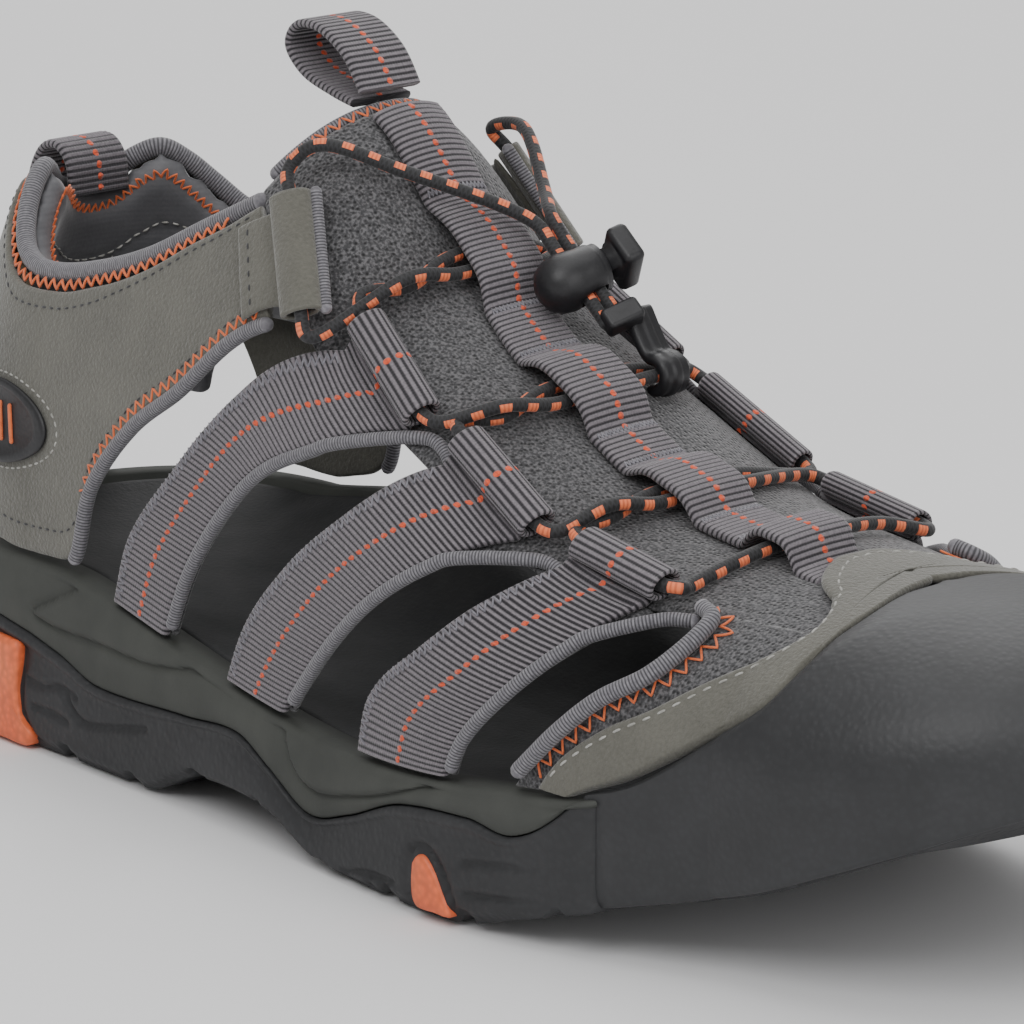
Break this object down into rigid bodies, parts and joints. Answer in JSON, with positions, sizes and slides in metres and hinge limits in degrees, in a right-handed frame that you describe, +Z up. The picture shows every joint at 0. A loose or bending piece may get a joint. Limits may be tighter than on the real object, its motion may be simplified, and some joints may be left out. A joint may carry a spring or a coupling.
{
  "type": "strappy sport sandal",
  "caption": "Closed-toe sport sandal with webbing side straps, mesh tongue, padded heel band, elastic lace with cord lock, and lugged rubber sole.",
  "frame": {"origin": "centre of the footprint's bounding box, on the ground plane", "axes": "+X towards the toe, -Y the outer (lateral) side of this right shoe, +Z up"},
  "size_m": [0.2948, 0.1096, 0.1398],
  "materials": {
    "outsole_rubber": "pebbled satin",
    "toe_rubber": "smooth satin",
    "orange_rubber": "satin",
    "midsole_foam": "matte moulded foam",
    "footbed_foam": "matte moulded foam",
    "board": "matte",
    "air_mesh": "open mesh",
    "nubuck": "brushed matte",
    "collar_lining": "satin",
    "ribbed_binding": "ribbed",
    "webbing": "ribbed",
    "badge": "matte",
    "lace_cord": "braided",
    "black_plastic": "satin",
    "spring_steel": "polished"
  },
  "bodies": {
    "sandal": {"outsole": "outsole_rubber", "toe_cap": "toe_rubber", "heel_tread_insert": "orange_rubber", "forefoot_tread_insert": "orange_rubber", "midsole": "midsole_foam", "footbed": "footbed_foam", "insole_board": "board", "heel_counter": "board", "vamp_mesh": "air_mesh", "toe_overlay": "nubuck", "lateral_quarter": "nubuck", "medial_quarter": "nubuck", "lateral_strap_end": "nubuck", "medial_strap_end": "nubuck", "heel_stay": "nubuck", "collar_lining": "collar_lining", "collar_binding": "ribbed_binding", "tongue_binding": "ribbed_binding", "lateral_arch_binding": "ribbed_binding", "medial_arch_binding": "ribbed_binding", "lateral_toe_binding": "ribbed_binding", "medial_toe_binding": "ribbed_binding", "centre_strip": "webbing", "heel_pull_loop": "webbing", "lateral_rear_strap": "webbing", "lateral_rear_lace_loop": "webbing", "lateral_rear_piping": "ribbed_binding", "lateral_middle_strap": "webbing", "lateral_middle_lace_loop": "webbing", "lateral_middle_piping": "ribbed_binding", "lateral_front_strap": "webbing", "lateral_front_lace_loop": "webbing", "lateral_front_piping": "ribbed_binding", "medial_rear_strap": "webbing", "medial_rear_lace_loop": "webbing", "medial_rear_piping": "ribbed_binding", "medial_middle_strap": "webbing", "medial_middle_lace_loop": "webbing", "medial_middle_piping": "ribbed_binding", "medial_front_strap": "webbing", "medial_front_lace_loop": "webbing", "medial_front_piping": "ribbed_binding", "heel_badge": "badge", "lace": "lace_cord", "lace_hook": "black_plastic"},
    "lace_lock": {"lock_body": "black_plastic", "lock_spring": "spring_steel"},
    "lock_button": {"lock_button": "black_plastic"},
    "tongue_loop": {"tongue_pull_loop": "webbing"}
  },
  "joints": [
    {"name": "lace_lock_slide", "type": "slide", "parent": "sandal", "child": "lace_lock", "axis": [0.7689, -0.0005, -0.6394], "range_m": [-0.0015, 0.003]},
    {"name": "lock_button_press", "type": "slide", "parent": "lace_lock", "child": "lock_button", "axis": [-0.2501, -0.9205, -0.3002], "range_m": [0, 0.0021], "stiffness_N_per_m": 900, "springref_m": -0.0025, "deforming": ["lock_spring"]},
    {"name": "tongue_loop_flex", "type": "hinge", "parent": "sandal", "child": "tongue_loop", "pos_m": [-0.0415, 0, 0.1275], "axis": [0, 1, 0], "range_deg": [-4, 50], "stiffness_Nm_per_rad": 0.004}
  ]
}
